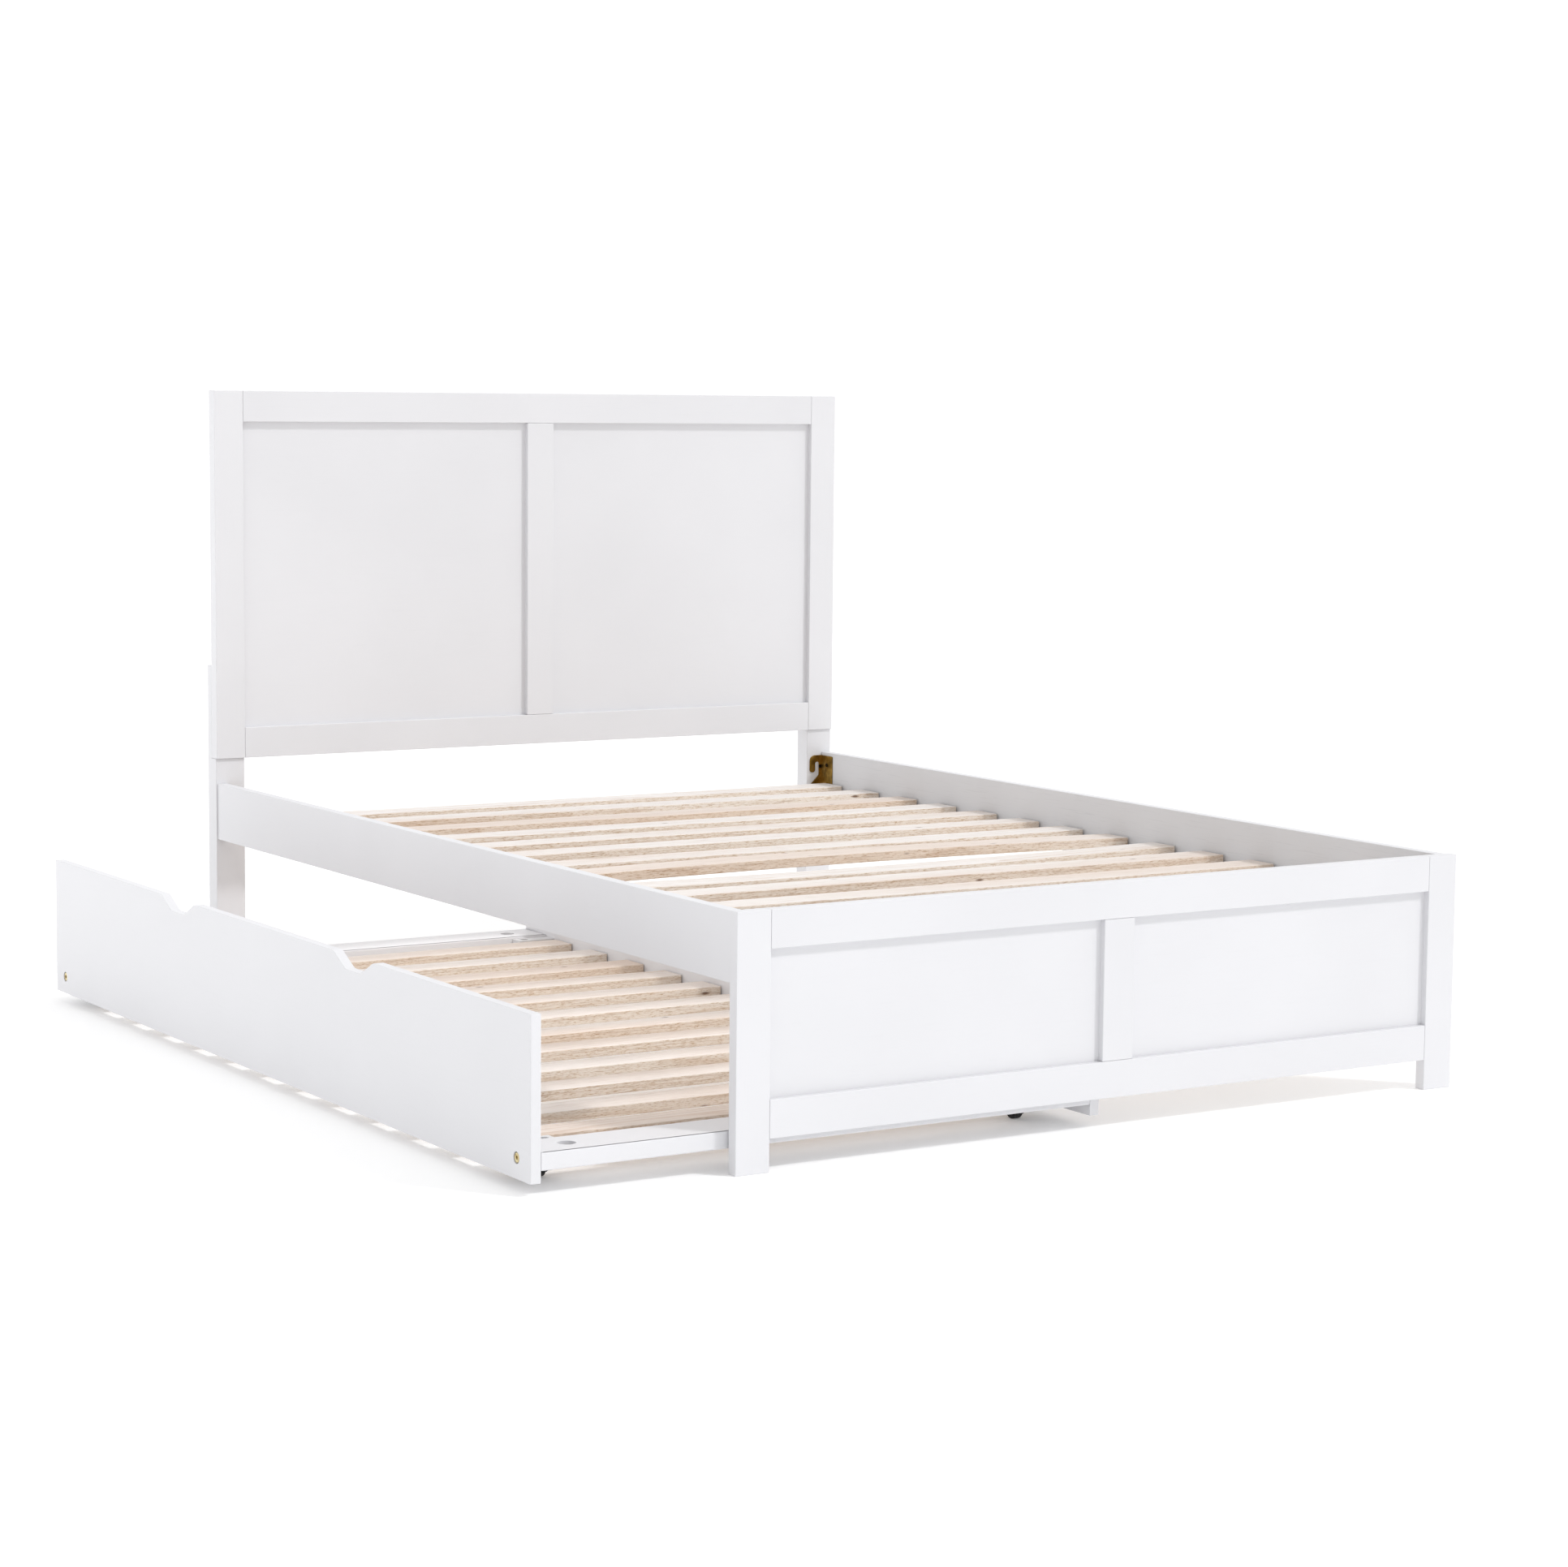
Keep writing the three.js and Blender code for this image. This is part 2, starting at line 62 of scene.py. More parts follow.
# Solid timber in the slats moves a little as it dries: most slats bow up or down by up to this much
# and twist by up to this many radians. Two neighbours in the bed's deck have bowed much further apart.
SLAT_BOW = 2.0 * MM
SLAT_TWIST = 0.012
SLAT_RINGS = 16
MARKED_BOWS = {"bed_slat_06": 7.0 * MM, "bed_slat_05": -6.5 * MM}

# Sizes that the frame's nodes don't state on their own.
RAIL_THICKNESS = 20 * MM
TRUNDLE_BOARD_THICKNESS = 17.5 * MM
LEDGER_HEIGHT = 26 * MM
TRUNDLE_LEDGER_HEIGHT = 23.7 * MM
TRUNDLE_LEDGER_WIDTH = 20 * MM
LEDGER_END_SETBACK = 60 * MM
POST_LAP = 18 * MM
JOINT_GAP = 0.3 * MM

# For a shape carried along an axis: the world axis of its distance, and of its outline's two axes.
CARRIED_AXES = {"x": (0, 1, 2), "y": (1, 2, 0), "z": (2, 0, 1)}

# How far a board's middle may lie from the pith, and how far along its log it may have been cut.
PITH_DISTANCE = (30 * MM, 90 * MM)
LOG_LENGTHS = (0, 40)

rng = np.random.default_rng(20)


# ---- Outlines and carried shapes -------------------------------------------------------------

def fillet_loop(corners, radii, steps=4):
    """An outline with rounded corners, anticlockwise, and its outward normals.

    Each corner becomes an arc that touches both of its edges: the arc's centre lies one radius
    inside them, and its points turn from the first edge's normal to the second edge's normal.
    """
    corners = np.asarray(corners, float)
    radii = np.broadcast_to(np.asarray(radii, float), len(corners))
    following = np.roll(corners, -1, axis=0)
    if np.sum(corners[:, 0] * following[:, 1] - corners[:, 1] * following[:, 0]) < 0:
        corners, radii = corners[::-1], radii[::-1]
    after = np.roll(corners, -1, axis=0) - corners
    after /= np.linalg.norm(after, axis=1)[:, None]
    before = np.roll(after, 1, axis=0)
    crossed = before[:, 0] * after[:, 1] - before[:, 1] * after[:, 0]
    turn = np.arctan2(crossed, np.sum(before * after, axis=1))
    first_normal = np.stack([before[:, 1], -before[:, 0]], axis=1)
    reach = radii * np.tan(np.abs(turn) / 2)
    signed = np.sign(turn) * radii
    centre = corners - before * reach[:, None] - first_normal * signed[:, None]
    angle = np.arctan2(first_normal[:, 1], first_normal[:, 0])[:, None]
    angle = angle + turn[:, None] * np.linspace(0, 1, steps + 1)
    normals = np.stack([np.cos(angle), np.sin(angle)], axis=-1)
    points = centre[:, None] + signed[:, None, None] * normals
    return points.reshape(-1, 2), normals.reshape(-1, 2)


def circle(radius, centre=(0, 0), count=32):
    """A circle's points, anticlockwise, and its outward normals."""
    angle = np.linspace(0, 2 * math.pi, count, endpoint=False)
    normals = np.stack([np.cos(angle), np.sin(angle)], axis=1)
    return np.asarray(centre) + radius * normals, normals


def rectangle(first, second, edge):
    """A rectangle between two ranges, its corners rounded."""
    corners = [(first[0], second[0]), (first[1], second[0]), (first[1], second[1]), (first[0], second[1])]
    return fillet_loop(corners, edge)


def ring_faces(rings, count, closed=False):
    """Quads between neighbouring rings of count points each."""
    ring, point = np.meshgrid(np.arange(rings if closed else rings - 1), np.arange(count), indexing="ij")
    here, beside = ring * count + point, ring * count + (point + 1) % count
    over = (here + count) % (rings * count)
    beside_over = (beside + count) % (rings * count)
    return np.stack([here, beside, beside_over, over], axis=-1).reshape(-1, 4).tolist()


def carry(outline, start, end, ease, rings=1, steps=3):
    """The outline carried straight from start to end, with both ends eased.

    Near an end the outline is inset as a quarter circle: at a distance ease * (1 - cos t) from the
    end it is smaller by ease * (1 - sin t), for t from 0 at the end's face to a quarter turn.
    Returns (rings, points, 3) arrays of places and of outward normals, distance first.
    """
    loop, normals = outline
    turn = np.linspace(0, math.pi / 2, steps + 1)
    depth = ease * (1 - np.cos(turn))
    inset = END_INSET_SHARE * ease * (1 - np.sin(turn))
    middle = np.linspace(start + ease, end - ease, rings + 1)[1:-1]
    flat = np.zeros(len(middle))
    along = np.concatenate([start + depth, middle, end - depth[::-1]])
    smaller = np.concatenate([inset, flat, inset[::-1]])
    outward = np.concatenate([-np.cos(turn), flat, np.cos(turn)[::-1]])
    shape = (len(along), len(loop), 3)
    points, directions = np.empty(shape), np.empty(shape)
    points[..., 0] = along[:, None]
    points[..., 1:] = loop - normals * smaller[:, None, None]
    directions[..., 0] = outward[:, None]
    directions[..., 1:] = normals * np.sqrt(1 - outward**2)[:, None, None]
    return points, directions


def pocket(outline, face, inward, depth, lip, steps=3):
    """A blind hole in a flat end face: an eased lip, a straight wall and a flat floor.

    The lip is a quarter circle: at an angle t it is wider than the hole by lip * (1 - sin t) and
    lies lip * (1 - cos t) below the face. Inward is the way into the timber, +1 or -1.
    """
    loop, normals = outline
    turn = np.append(np.linspace(0, math.pi / 2, steps + 1), [math.pi / 2, 0])
    wider = np.append(lip * (1 - np.sin(turn[:-2])), [0, 0])
    below = np.append(lip * (1 - np.cos(turn[:-2])), [depth, depth])
    shape = (len(turn), len(loop), 3)
    points, directions = np.empty(shape), np.empty(shape)
    points[..., 0] = (face + inward * below)[:, None]
    points[..., 1:] = loop + normals * wider[:, None, None]
    directions[..., 0] = -inward * np.cos(turn)[:, None]
    directions[..., 1:] = -normals * np.sin(turn)[:, None, None]
    return points, directions


def solid(outline, start, end, ease, rings=1, pockets=()):
    """A carried outline closed at both ends, with pockets (outline, depth, which end) sunk into the ends."""
    points, directions = carry(outline, start, end, ease, rings)
    count, last = points.shape[1], points.shape[0] - 1
    all_points, all_directions = [points.reshape(-1, 3)], [directions.reshape(-1, 3)]
    faces = ring_faces(points.shape[0], count)
    total = len(all_points[0])
    rims = [[list(range(count))], [list(range(last * count, (last + 1) * count))]]
    for hole, depth, at_end in pockets:
        face, inward = (end, -1) if at_end else (start, 1)
        sunk, facing = pocket(hole, face, inward, depth, min(POCKET_LIP, depth / 8))
        width = sunk.shape[1]
        faces += (np.array(ring_faces(sunk.shape[0] - 1, width)) + total).tolist()
        floor = total + (sunk.shape[0] - 1) * width
        faces.append(list(range(floor, floor + width)))
        rims[at_end].append(list(range(total, total + width)))
        all_points.append(sunk.reshape(-1, 3))
        all_directions.append(facing.reshape(-1, 3))
        total += sunk.size // 3
    points, directions = np.concatenate(all_points), np.concatenate(all_directions)
    for rim in rims:
        if len(rim) == 1:
            faces.append(rim[0])
            continue
        order = [index for loop in rim for index in loop]
        flat = [[Vector((*points[index, 1:], 0)) for index in loop] for loop in rim]
        faces += [[order[corner] for corner in triangle] for triangle in tessellate_polygon(flat)]
    return points, directions, faces


def merged(shapes):
    """Several shapes as one: their points and normals in turn, and their faces renumbered."""
    starts = np.cumsum([0] + [len(points) for points, _, _ in shapes])
    faces = [[corner + start for corner in face]
             for start, (_, _, part) in zip(starts, shapes) for face in part]
    points = np.concatenate([points for points, _, _ in shapes])
    return points, np.concatenate([directions for _, directions, _ in shapes]), faces


def placed(shape, along):
    """A carried shape turned so that its distance lies on the given world axis."""
    points, directions, faces = shape
    order = np.argsort(CARRIED_AXES[along])
    return points[:, order], directions[:, order], faces


def faced_out(points, directions, faces):
    """The faces, each wound so that it looks the way its corners' normals do."""
    wound = []
    for face in faces:
        corners = points[face]
        area = np.cross(corners, np.roll(corners, -1, axis=0)).sum(axis=0)
        wound.append(face if area @ directions[face].sum(axis=0) >= 0 else face[::-1])
    return wound


def add_piece(name, shape, material, body, slot, replaced=(), log=None):
    """One mesh object at the origin, smooth where its normals say so, riding on a body."""
    points, directions, faces = shape
    mesh = bpy.data.meshes.new(name)
    mesh.from_pydata(points.tolist(), [], faced_out(points, directions, faces))
    mesh.shade_smooth()
    mesh.normals_split_custom_set_from_vertices(directions.tolist())
    if log is not None:
        attribute = mesh.attributes.new("log", "FLOAT_VECTOR", "POINT")
        attribute.data.foreach_set("vector", log.reshape(-1).astype(np.float32))
    mesh.materials.append(material)
    piece = bpy.data.objects.new(name, mesh)
    bpy.context.scene.collection.objects.link(piece)
    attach(piece, body)
    if replaced:
        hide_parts(*replaced)
    return piece


def log_place(points, grain):
    """Where a board sat in its log: distance along it, and two distances from the pith.

    The pith lies 30 to 90 mm from the board's middle, at an angle that differs from board to board.
    """
    angle = rng.uniform(0, 2 * math.pi)
    distance = rng.uniform(*PITH_DISTANCE)
    values = points[:, CARRIED_AXES[grain]]
    middle = (values.min(axis=0) + values.max(axis=0)) / 2
    pith = np.array([rng.uniform(*LOG_LENGTHS), math.cos(angle) * distance, math.sin(angle) * distance])
    return values - middle * np.array([0, 1, 1]) + pith


def timber(name, outline, span, along, edge, finish, replaced=(), grain=None, rings=1, pockets=(), warp=None):
    """A timber piece: its rounded outline carried along one axis, warped if asked."""
    points, directions, faces = placed(solid(outline, span[0], span[1], edge, rings, pockets), along)
    log = log_place(points, grain or along)
    if warp is not None:
        points = warp(points)
    return add_piece(name, (points, directions, faces), *finish, replaced, log)


def board(name, low, high, along, edge, finish, replaced=(), **options):
    """A plain board between two corners, with every edge eased."""
    span, first, second = (sorted((low[axis], high[axis])) for axis in CARRIED_AXES[along])
    return timber(name, rectangle(first, second, edge), span, along, edge, finish, replaced, **options)


# ---- Materials -------------------------------------------------------------------------------

def linear(hex_colour):
    """An sRGB hex colour as linear red, green, blue and alpha."""
    channels = [int(hex_colour[i:i + 2], 16) / 255 for i in (1, 3, 5)]
    return [c / 12.92 if c <= 0.04045 else ((c + 0.055) / 1.055) ** 2.4 for c in channels] + [1.0]


def node(tree, kind, settings=None, links=None):
    """Adds a node, sets its properties and its unlinked inputs, and links the rest."""
    made = tree.nodes.new(kind)
    for key, value in (settings or {}).items():
        if isinstance(key, str) and hasattr(made, key):
            setattr(made, key, value)
        else:
            made.inputs[key].default_value = value
    for key, source in (links or {}).items():
        tree.links.new(source, made.inputs[key])
    return made


def ramp(tree, factor, stops):
    """A colour ramp through (position, hex colour) stops."""
    made = node(tree, "ShaderNodeValToRGB", links={"Fac": factor})
    elements = made.color_ramp.elements
    while len(elements) < len(stops):
        elements.new(0.5)
    for element, (position, colour) in zip(elements, stops):
        element.position = position
        element.color = linear(colour)
    return made.outputs["Color"]


def mix(tree, blend, factor, first, second):
    """Two colours mixed; the factor is a number or another node's output."""
    links = {6: first, 7: second}
    settings = {"data_type": "RGBA", "blend_type": blend}
    if isinstance(factor, float):
        settings[0] = factor
    else:
        links[0] = factor
    return node(tree, "ShaderNodeMix", settings, links).outputs[2]


def new_material(name):
    """A material with one principled shader."""
    material = bpy.data.materials.new(name)
    material.use_nodes = True
    return material, material.node_tree, material.node_tree.nodes["Principled BSDF"]


def log_coordinates(tree, along_scale, across_scale):
    """The board's place in its log, stretched so that patterns run along the grain."""
    log = node(tree, "ShaderNodeAttribute", {"attribute_name": "log"})
    scaled = node(tree, "ShaderNodeVectorMath", {"operation": "MULTIPLY",
                  1: (along_scale, across_scale, across_scale)}, {0: log.outputs["Vector"]})
    return scaled.outputs["Vector"]


def satin_enamel(name, tint, grain):
    """Satin enamel sprayed on sanded pine and board, drying to a soft sheen.

    Orange peel of about 2 mm breaks up the highlights, and the grain below telegraphs through by the given
    share. The darker copy for inner and tucked-away faces has a larger share, and its darker tint is painted
    shade.
    """
    material, tree, shader = new_material(name)
    place_in_log = log_coordinates(tree, 1.0, 1.0)
    cloud = node(tree, "ShaderNodeTexNoise", {"Scale": 1 / 0.35, "Detail": 2.0}, {"Vector": place_in_log})
    fibre = node(tree, "ShaderNodeTexNoise", {"Scale": 1.0, "Detail": 3.0, "Roughness": 0.6},
                 {"Vector": log_coordinates(tree, 1 / 0.070, 1 / 0.0022)})
    paint = ramp(tree, cloud.outputs["Fac"], [(0.3, tint[0]), (0.7, tint[1])])
    shade = ramp(tree, fibre.outputs["Fac"], [(0.28, "#D4D4D6"), (0.42, "#FFFFFF")])
    tree.links.new(mix(tree, "MULTIPLY", grain, paint, shade), shader.inputs["Base Color"])
    peel = node(tree, "ShaderNodeTexNoise", {"Scale": 1 / 0.002, "Detail": 1.0}, {"Vector": place_in_log})
    soft = node(tree, "ShaderNodeBump", {"Strength": 0.06, "Distance": 0.2 * MM},
                {"Height": peel.outputs["Fac"]})
    raised = node(tree, "ShaderNodeBump", {"Strength": grain, "Distance": 0.3 * MM},
                  {"Height": fibre.outputs["Fac"], "Normal": soft.outputs["Normal"]})
    tree.links.new(raised.outputs["Normal"], shader.inputs["Normal"])
    sheen = node(tree, "ShaderNodeMapRange", {"To Min": 0.38, "To Max": 0.52},
                 {"Value": cloud.outputs["Fac"]})
    tree.links.new(sheen.outputs["Result"], shader.inputs["Roughness"])
    return material


def planed_pine(name):
    """Planed, unfinished pine: pale cream on faces that point up, and darker, warmer and speckled on all
    other faces, where the darkening is painted shade.

    Rings about 5 mm apart are distances from the pith, bent by a slow wander along the board, so a
    face shows arches and stripes. Fibres about 2 mm wide run along it, broken into fine dark ticks on
    the edges, and small knots sit in it. Faces that point up are told from the rest by the surface's own
    normal, and the rest are darkened warm as painted shade.
    """
    material, tree, shader = new_material(name)
    wander = node(tree, "ShaderNodeTexNoise", {"Scale": 1.0, "Detail": 2.0},
                  {"Vector": log_coordinates(tree, 1.2, 12.0)})
    radius = node(tree, "ShaderNodeVectorMath", {"operation": "LENGTH"}, {0: log_coordinates(tree, 0.0, 1.0)})
    bent = node(tree, "ShaderNodeMath", {"operation": "MULTIPLY_ADD", 1: 0.030},
                {0: wander.outputs["Fac"], 2: radius.outputs["Value"]})
    ring = node(tree, "ShaderNodeMath", {"operation": "MULTIPLY", 1: 1 / 0.0052}, {0: bent.outputs[0]})
    share = node(tree, "ShaderNodeMath", {"operation": "FRACT"}, {0: ring.outputs[0]})
    wood = ramp(tree, share.outputs[0],
                [(0.0, "#ECE7E4"), (0.60, "#E9E4E0"), (0.88, "#DED2C8"), (0.97, "#EBE6E2")])
    fibre = node(tree, "ShaderNodeTexNoise", {"Scale": 1.0, "Detail": 4.0, "Roughness": 0.65},
                 {"Vector": log_coordinates(tree, 1 / 0.060, 1 / 0.0018)})
    streak = ramp(tree, fibre.outputs["Fac"], [(0.30, "#B89C86"), (0.45, "#FFFFFF")])
    tone = node(tree, "ShaderNodeTexNoise", {"Scale": 1.0, "Detail": 1.0},
                {"Vector": log_coordinates(tree, 0.6, 5.0)})
    blush = ramp(tree, tone.outputs["Fac"], [(0.34, "#F4E8DE"), (0.58, "#FFFFFF")])
    face = mix(tree, "MULTIPLY", 0.8, mix(tree, "MULTIPLY", 0.6, wood, streak), blush)
    tick = node(tree, "ShaderNodeTexNoise", {"Scale": 1.0, "Detail": 3.0, "Roughness": 0.7},
                {"Vector": log_coordinates(tree, 1 / 0.010, 1 / 0.0012)})
    # Painted shade: faces that don't point up are multiplied by this warm ramp, which also carries the
    # speckled ticks.
    painted_shade_and_ticks = ramp(tree, tick.outputs["Fac"], [(0.36, "#CDB598"), (0.46, "#F5EDE2"), (0.62, "#FAF6EF")])
    edge = mix(tree, "MULTIPLY", 1.0, face, painted_shade_and_ticks)
    coords = node(tree, "ShaderNodeTexCoord")
    normal = node(tree, "ShaderNodeSeparateXYZ", links={0: coords.outputs["Normal"]})
    # Faces that point up keep the plain colour; all others take the painted shade.
    level = node(tree, "ShaderNodeMapRange", {"From Min": 0.55, "From Max": 0.85},
                 {"Value": normal.outputs["Z"]})
    planed = mix(tree, "MIX", level.outputs["Result"], edge, face)
    cell = node(tree, "ShaderNodeTexVoronoi", {"Scale": 1.0, "Randomness": 1.0},
                {"Vector": log_coordinates(tree, 1 / 0.150, 1 / 0.050)})
    knot = node(tree, "ShaderNodeMapRange",
                {"From Min": 0.03, "From Max": 0.075, "To Min": 0.9, "To Max": 0.0},
                {"Value": cell.outputs["Distance"]})
    heart = node(tree, "ShaderNodeRGB")
    heart.outputs[0].default_value = linear("#6A4A33")
    tree.links.new(mix(tree, "MIX", knot.outputs["Result"], planed, heart.outputs[0]),
                   shader.inputs["Base Color"])
    bump = node(tree, "ShaderNodeBump", {"Strength": 0.2, "Distance": 0.3 * MM},
                {"Height": fibre.outputs["Fac"]})
    tree.links.new(bump.outputs["Normal"], shader.inputs["Normal"])
    shader.inputs["Roughness"].default_value = 0.62
    return material


def plated_steel(name, low, middle, high, patch):
    """Plated or passivated steel: its colour and its polish drift in patches from the bath and handling."""
    material, tree, shader = new_material(name)
    coords = node(tree, "ShaderNodeTexCoord")
    cloud = node(tree, "ShaderNodeTexNoise", {"Scale": 1 / patch, "Detail": 3.0},
                 {"Vector": coords.outputs["Object"]})
    tree.links.new(ramp(tree, cloud.outputs["Fac"], [(0.3, low), (0.5, middle), (0.72, high)]),
                   shader.inputs["Base Color"])
    rough = node(tree, "ShaderNodeMapRange", {"To Min": 0.25, "To Max": 0.48},
                 {"Value": cloud.outputs["Fac"]})
    tree.links.new(rough.outputs["Result"], shader.inputs["Roughness"])
    shader.inputs["Metallic"].default_value = 1.0
    return material


def moulded_nylon(name, low, high, roughness):
    """Injection-moulded nylon: near black, with a fine spark-eroded texture of about 0.5 mm."""
    material, tree, shader = new_material(name)
    coords = node(tree, "ShaderNodeTexCoord")
    grit = node(tree, "ShaderNodeTexNoise", {"Scale": 1 / 0.0005, "Detail": 1.0},
                {"Vector": coords.outputs["Object"]})
    tree.links.new(ramp(tree, grit.outputs["Fac"], [(0.3, low), (0.7, high)]), shader.inputs["Base Color"])
    bump = node(tree, "ShaderNodeBump", {"Strength": 0.15, "Distance": 0.05 * MM},
                {"Height": grit.outputs["Fac"]})
    tree.links.new(bump.outputs["Normal"], shader.inputs["Normal"])
    shader.inputs["Roughness"].default_value = roughness
    return material


ENAMEL = satin_enamel("satin_enamel", ("#DDDDE0", "#E1E1E4"), 0.04)
# A darker copy of the enamel for inner and tucked-away faces: its darker tint is painted shade.
PAINTED_SHADE_ENAMEL = satin_enamel("satin_enamel_painted_shade", ("#D6D6D8", "#DCDCDE"), 0.22)
PINE = planed_pine("planed_pine")
PLATED = plated_steel("yellow_passivated_zinc", "#6E5726", "#9A7A38", "#C6A662", 0.018)
BRASSED = plated_steel("brass_plated_steel", "#A18B58", "#CDBB88", "#E4DAB6", 0.009)
BLACKED = plated_steel("black_passivated_zinc", "#1E1A14", "#3A3022", "#5A4A30", 0.004)
NYLON = moulded_nylon("moulded_nylon", "#0C0C0D", "#161618", 0.42)
TREAD = moulded_nylon("moulded_nylon_tread", "#101011", "#1B1B1D", 0.58)

BED_ENAMEL = (ENAMEL, "bed", "white_enamel")
BED_PAINTED_SHADE = (PAINTED_SHADE_ENAMEL, "bed", "white_enamel")
TRUNDLE_ENAMEL = (ENAMEL, "trundle", "white_enamel")
TRUNDLE_PAINTED_SHADE = (PAINTED_SHADE_ENAMEL, "trundle", "white_enamel")


# ---- Panel boards ----------------------------------------------------------------------------

def build_panel_board(prefix):
    """Posts, rails, mullion and panels of the headboard or the footboard."""
    grain = {"left_post": "z", "right_post": "z", "mullion": "z", "top_rail": "x", "lower_rail": "x"}
    for part, along in grain.items():
        name = f"{prefix}_{part}"
        board(f"{name}_timber", *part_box(name), along, ENAMELLED_EDGE, BED_ENAMEL, [name])
    for side in ("left", "right"):
        name = f"{prefix}_{side}_panel"
        board(f"{name}_board", *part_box(name), "x", PANEL_EDGE, BED_ENAMEL, [name])


def build_head_leg(side):
    """A leg: full depth up to the post's end, then a thinner tongue behind the post."""
    name = f"{side}_head_leg"
    low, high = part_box(name)
    post_low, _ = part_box(f"headboard_{side}_post")
    lap = high.y - POST_LAP
    seam = post_low.z - JOINT_GAP
    corners = [(low.y, low.z), (high.y, low.z), (high.y, high.z), (lap, high.z), (lap, seam), (low.y, seam)]
    radii = [ENAMELLED_EDGE] * 4 + [PLATE_EDGE, ENAMELLED_EDGE]
    timber(f"{name}_timber", fillet_loop(corners, radii), (low.x, high.x), "x", ENAMELLED_EDGE, BED_ENAMEL,
           [name], grain="z")


# ---- Side rails, ledgers and slats -----------------------------------------------------------

def build_side_rail(side):
    """A side rail whose inner face takes the darker enamel, which is painted shade, with its slat ledger as a
    separate strip there.
    """
    name = f"{side}_side_rail"
    low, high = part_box(name)
    left = side == "left"
    rail_x = (low.x, low.x + RAIL_THICKNESS) if left else (high.x - RAIL_THICKNESS, high.x)
    ledger_x = (rail_x[1], high.x) if left else (low.x, rail_x[0])
    rail = board(f"{name}_timber", (rail_x[0], low.y, low.z), (rail_x[1], high.y, high.z), "y",
                 ENAMELLED_EDGE, BED_ENAMEL, [name])
    # The rail's inner face takes the darker enamel: painted shade.
    rail.data.materials.append(PAINTED_SHADE_ENAMEL)
    for face in rail.data.polygons:
        face.material_index = int(face.normal.x > 0.9 if left else face.normal.x < -0.9)
    # The ledger inside the rail is in the darker enamel: painted shade.
    board(f"{side}_slat_ledger", (ledger_x[0], low.y + LEDGER_END_SETBACK, low.z),
          (ledger_x[1], high.y - LEDGER_END_SETBACK, low.z + LEDGER_HEIGHT), "y", ENAMELLED_EDGE, BED_PAINTED_SHADE)


def slat_warp(bow, twist):
    """Lifts a slat by bow at mid-length, falling off as a parabola, and turns it by twist from end to end."""
    def warp(points):
        start, end = points[:, 0].min(), points[:, 0].max()
        share = 2 * (points[:, 0] - start) / (end - start) - 1
        across = points[:, 1] - points[:, 1].mean()
        bent = points.copy()
        bent[:, 2] += bow * (1 - share**2) + twist * share * (1 - share**2) * across
        return bent
    return warp


def build_slats(prefix, body):
    """The pine slats of one deck, each with a bow and twist of its own."""
    for name in sorted(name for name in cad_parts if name.startswith(prefix)):
        low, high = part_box(name)
        bow = MARKED_BOWS.get(name, rng.uniform(-0.6, 1.0) * SLAT_BOW)
        twist = rng.uniform(-1, 1) * SLAT_TWIST
        timber(f"{name}_pine", rectangle((low.y, high.y), (low.z, high.z), SLAT_EDGE), (low.x, high.x), "x",
               SLAT_END_EDGE, (PINE, body, "pine"), [name], rings=SLAT_RINGS, warp=slat_warp(bow, twist))


# ---- Hook plates and screws ------------------------------------------------------------------

# The post leaf's outline in mm: distance in from the fold, distance down from the top, corner radius.
HOOK_OUTLINE = ((0, 0, 0.5), (30, 0, 12), (30, 37, 6), (16.5, 37, 6), (16.5, 14, 4.4), (7, 14, 4.4),
                (7, 43, 6), (27, 62, 6), (27, 92, 4), (0, 92, 0.5))
PLATE_THICKNESS = 2 * MM
FOLD_RADIUS = 2.0 * MM
SCREW_HEAD_RADIUS = 4 * MM
SCREW_HEAD_HEIGHT = 1.6 * MM
SCREW_RECESS = 1.1 * MM
RECESS_HALF_LENGTH = 2.2 * MM
RECESS_HALF_WIDTH = 0.6 * MM
RAIL_LEAF_CORNER = 3 * MM
FOLD_EDGE = 0.9 * MM

# The screws: on the rail leaf at one distance from the post and two heights below the plate's top,
# and on the hooked leaf at (distance in from the fold, distance down from the top).
RAIL_SCREW_REACH = 26 * MM
RAIL_SCREWS_DOWN = (20 * MM, 74 * MM)
HOOK_SCREWS = ((4.4 * MM, 24 * MM), (13 * MM, 76 * MM))


def cross_recess(centre, half_length, half_width):
    """The outline of a cross-shaped driver recess."""
    arm = np.array([(half_length, -half_width), (half_length, half_width), (half_width, half_width)])
    quarter_turn = np.array([[0, 1], [-1, 0]])
    corners = [arm @ np.linalg.matrix_power(quarter_turn, turns) for turns in range(4)]
    return fillet_loop(np.concatenate(corners) + np.asarray(centre), 0.15 * MM, 2)


def screw_head(centre, face, outward, along):
    """A flat-topped screw head with a cross recess, standing on a face."""
    outline = circle(SCREW_HEAD_RADIUS, centre, 24)
    span = sorted((face, face + outward * SCREW_HEAD_HEIGHT))
    recess = cross_recess(centre, RECESS_HALF_LENGTH, RECESS_HALF_WIDTH)
    shape = solid(outline, *span, HARDWARE_EDGE, pockets=[(recess, SCREW_RECESS, outward > 0)])
    return placed(shape, along)


